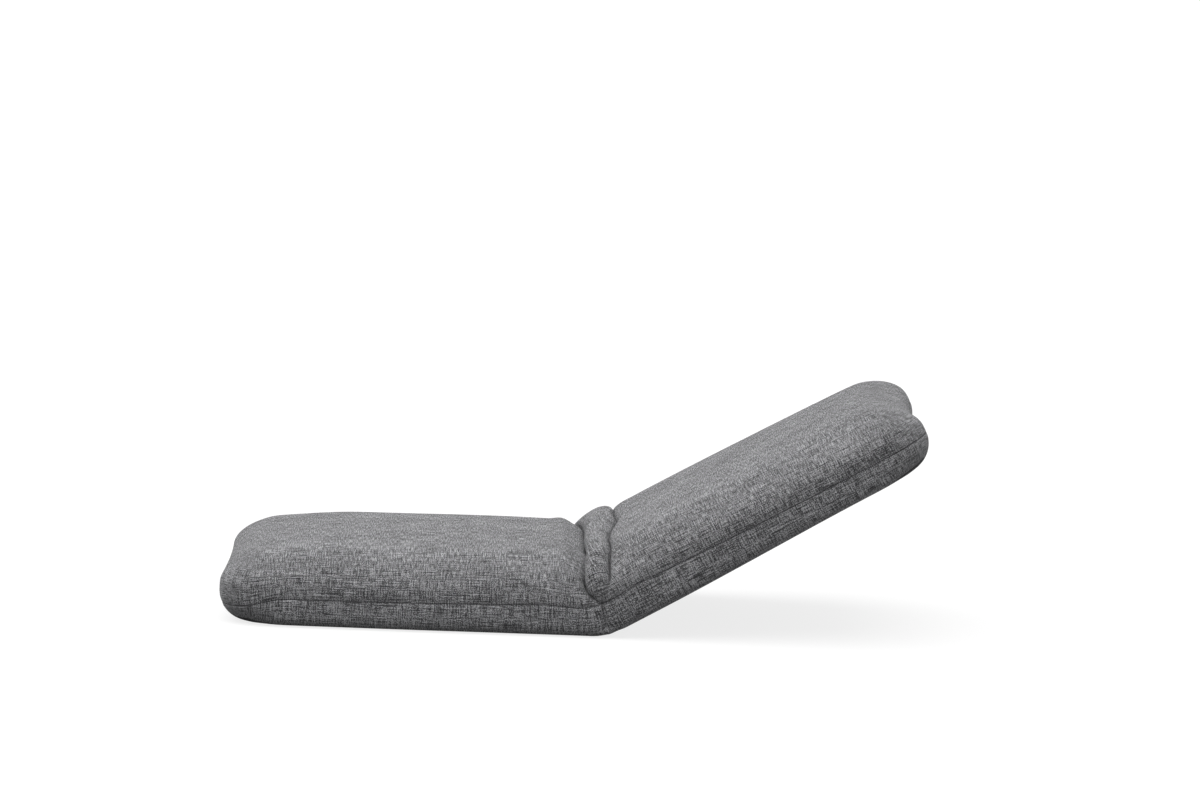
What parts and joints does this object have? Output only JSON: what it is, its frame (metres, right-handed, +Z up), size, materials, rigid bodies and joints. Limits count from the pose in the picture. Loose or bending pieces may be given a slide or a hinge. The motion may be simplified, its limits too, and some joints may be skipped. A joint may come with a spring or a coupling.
{
  "type": "folding floor lounge chair",
  "caption": "Legless upholstered floor chair: a flat padded seat and a padded back that folds on ratchet hinges, with gathered cloth over the fold and a woven melange cover.",
  "frame": {"origin": "centre of the seat's flat underside, on the floor", "axes": "+X from the foot end to the head end, +Z up, the seat's near side at -Y"},
  "size_m": [1.029, 0.52, 0.3467],
  "materials": {
    "cover_fabric": "woven grey melange upholstery cloth",
    "under_cover": "the same cloth on the band, darker cloth on the underside",
    "foam": "open cell seat foam",
    "webbing": "elastic seat webbing",
    "frame_steel": "black powder coat",
    "hinge_steel": "zinc plated sheet",
    "rivet_steel": "zinc plated rivets",
    "zip_tape": "woven zip tape",
    "zip_coil": "nylon coil",
    "zip_metal": "grey enamel"
  },
  "bodies": {
    "seat": {"seat_frame_tube": "frame_steel", "seat_cross_tube_near": "frame_steel", "seat_cross_tube_far": "frame_steel", "seat_strap_1": "webbing", "seat_strap_2": "webbing", "seat_strap_3": "webbing", "seat_cover_top": "cover_fabric", "seat_cover_bottom": "under_cover", "seat_foam_upper": "foam", "seat_foam_lower": "foam", "seat_tube_rivets": "rivet_steel", "seat_fold_shoulder": "cover_fabric", "fold_middle_pleat": "cover_fabric", "fold_under_cover": "under_cover", "hinge_foam_core": "foam", "right_hinge_clevis": "hinge_steel", "right_pivot_rivet": "rivet_steel", "right_pivot_washers": "hinge_steel", "right_pawl_pin": "rivet_steel", "right_pawl_spring": "hinge_steel", "left_hinge_clevis": "hinge_steel", "left_pivot_rivet": "rivet_steel", "left_pivot_washers": "hinge_steel", "left_pawl_pin": "rivet_steel", "left_pawl_spring": "hinge_steel"},
    "backrest": {"back_frame_tube": "frame_steel", "back_cross_tube_near": "frame_steel", "back_cross_tube_far": "frame_steel", "back_strap_1": "webbing", "back_strap_2": "webbing", "back_strap_3": "webbing", "back_cover_top": "cover_fabric", "back_cover_bottom": "under_cover", "back_foam_upper": "foam", "back_foam_lower": "foam", "back_tube_rivets": "rivet_steel", "back_fold_shoulder": "cover_fabric", "zip_tape": "zip_tape", "zip_coil": "zip_coil", "right_hinge_tongue": "hinge_steel", "left_hinge_tongue": "hinge_steel"},
    "right_pawl": {"right_pawl": "hinge_steel"},
    "left_pawl": {"left_pawl": "hinge_steel"},
    "zip_slider": {"zip_slider": "zip_metal"},
    "zip_pull": {"zip_pull": "zip_metal"}
  },
  "joints": [
    {"name": "backrest_fold", "type": "hinge", "parent": "seat", "child": "backrest", "pos_m": [0.275, 0, 0.036], "axis": [0, -1, 0], "range_deg": [-30, 60], "deforming": ["seat_fold_shoulder", "back_fold_shoulder", "fold_middle_pleat", "fold_under_cover"]},
    {"name": "right_pawl_lift", "type": "hinge", "parent": "seat", "child": "right_pawl", "pos_m": [0.247, -0.21, 0.033], "axis": [0, 1, 0], "range_deg": [0, 12], "stiffness_Nm_per_rad": 0.05, "springref_deg": -11.46, "deforming": ["right_pawl_spring"]},
    {"name": "left_pawl_lift", "type": "hinge", "parent": "seat", "child": "left_pawl", "pos_m": [0.247, 0.21, 0.033], "axis": [0, 1, 0], "range_deg": [0, 12], "stiffness_Nm_per_rad": 0.05, "springref_deg": -11.46, "deforming": ["left_pawl_spring"]},
    {"name": "zip_run", "type": "slide", "parent": "backrest", "child": "zip_slider", "axis": [0, -1, 0], "range_m": [0, 0.37]},
    {"name": "pull_swing", "type": "hinge", "parent": "zip_slider", "child": "zip_pull", "pos_m": [0.69853, 0.192, 0.24242], "axis": [0.866, 0, 0.5], "range_deg": [0, 160]}
  ]
}
